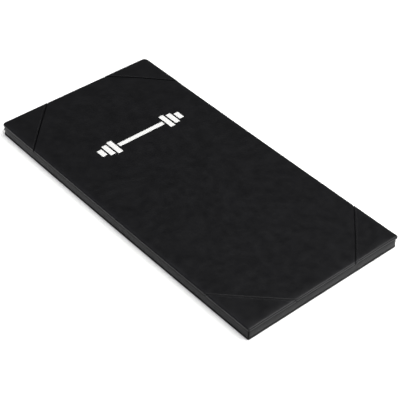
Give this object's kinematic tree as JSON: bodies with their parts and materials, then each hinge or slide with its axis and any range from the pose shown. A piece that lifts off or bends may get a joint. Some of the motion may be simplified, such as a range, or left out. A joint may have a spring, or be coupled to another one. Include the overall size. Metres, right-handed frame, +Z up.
{
  "type": "gym mat",
  "caption": "One-piece gym mat: a foam slab in a zipped black leatherette cover with reinforced corners and a pull ring on the zip.",
  "frame": {"origin": "centre of the flat underside, on the floor", "axes": "+Z up; +Y along the length, towards the short side with the zip; +X across the width, the way the zip's slider travels as it opens"},
  "size_m": [1.004, 2.0112, 0.0764],
  "materials": {
    "leatherette": "satin",
    "underside_vinyl": "matte",
    "foam": "matte",
    "thread": "satin",
    "zip_tape": "matte",
    "zip_coil": "satin",
    "black_metal": "satin",
    "nickel": "polished",
    "white_ink": "matte"
  },
  "bodies": {
    "mat": {"foam_core": "foam", "top_panel": "leatherette", "bottom_panel": "underside_vinyl", "side_band_left": "leatherette", "side_band_right": "leatherette", "side_band_near": "leatherette", "zip_strip_upper": "leatherette", "zip_strip_lower": "leatherette", "corner_patch_far_left": "leatherette", "corner_patch_far_right": "leatherette", "corner_patch_near_left": "leatherette", "corner_patch_near_right": "leatherette", "corner_thread": "thread", "zip_thread": "thread", "zip_tape_upper": "zip_tape", "zip_tape_lower": "zip_tape", "zip_coil_upper": "zip_coil", "zip_coil_lower": "zip_coil", "zip_top_stops": "nickel", "zip_bottom_stop": "nickel", "printed_emblem": "white_ink"},
    "slider": {"zip_slider": "black_metal"},
    "pull_link": {"zip_pull_link": "black_metal"},
    "pull_ring": {"zip_pull_ring": "nickel"}
  },
  "joints": [
    {"name": "zip_slide", "type": "slide", "parent": "mat", "child": "slider", "axis": [1, 0, 0], "range_m": [0, 0.9414]},
    {"name": "pull_link_swing", "type": "hinge", "parent": "slider", "child": "pull_link", "pos_m": [-0.4719, 1.0062, 0.037], "axis": [1, 0, 0], "range_deg": [0, 120]},
    {"name": "pull_ring_swing", "type": "hinge", "parent": "pull_link", "child": "pull_ring", "pos_m": [-0.48996, 1.0062, 0.0183], "axis": [0.7193, 0, -0.6947], "range_deg": [-8, 60]}
  ]
}
